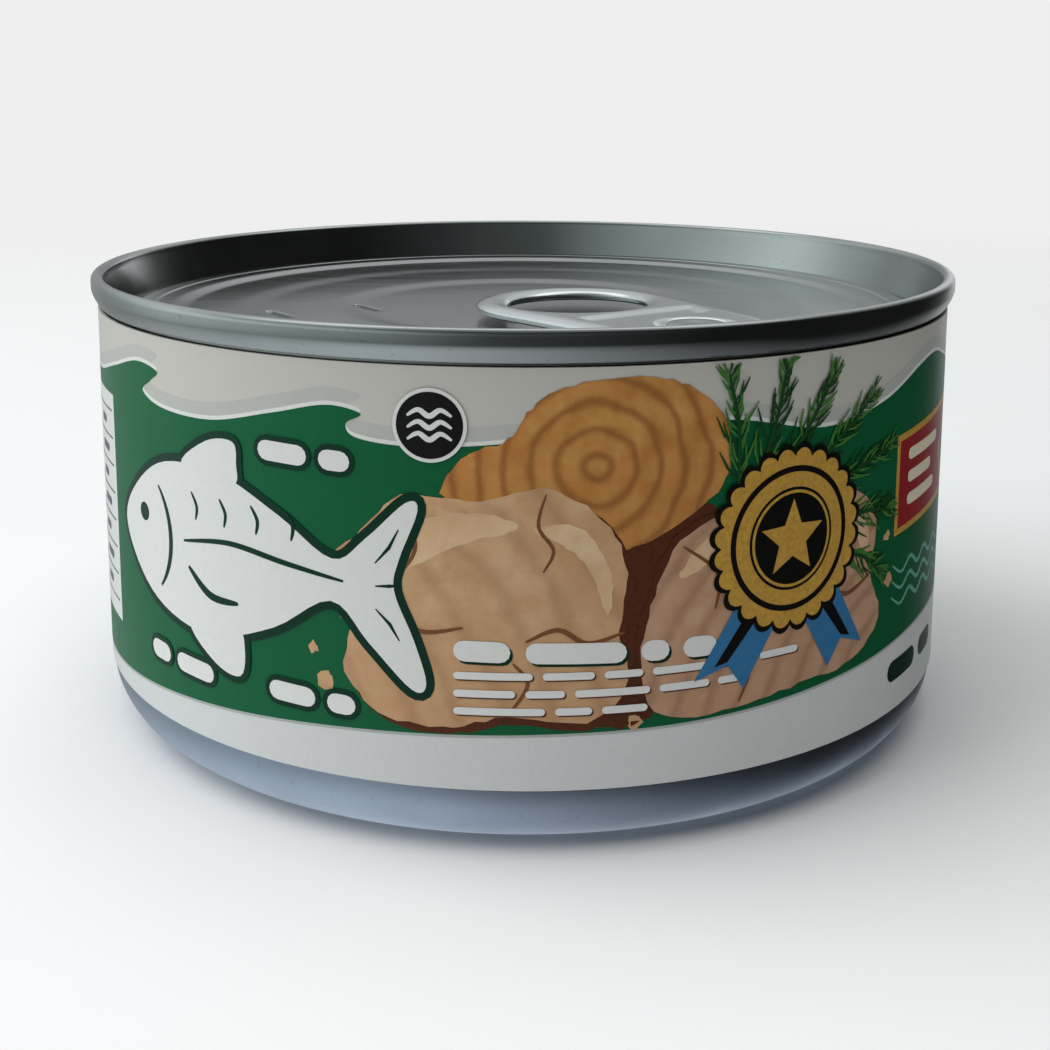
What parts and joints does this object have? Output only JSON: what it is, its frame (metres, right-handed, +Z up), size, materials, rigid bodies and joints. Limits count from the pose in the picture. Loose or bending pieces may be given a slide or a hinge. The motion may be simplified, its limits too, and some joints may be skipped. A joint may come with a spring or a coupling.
{
  "type": "tuna can",
  "caption": "Shut round tuna can with an easy-open ring-pull lid, rolled steel rim and a green and white paper label.",
  "frame": {"origin": "middle of the base, at the height of the flat ring the can stands on", "axes": "+Z up along the can's axis, -Y towards the front of the label, +X to the right of the front"},
  "size_m": [0.0872, 0.0872, 0.0442],
  "materials": {
    "drawn_steel": "satin",
    "lid_steel": "satin",
    "tab_steel": "satin",
    "label_paper": "gloss"
  },
  "bodies": {
    "root": {"can_body": "drawn_steel", "label": "label_paper", "lid": "lid_steel", "pull_tab": "tab_steel", "rivet": "lid_steel"}
  },
  "joints": []
}
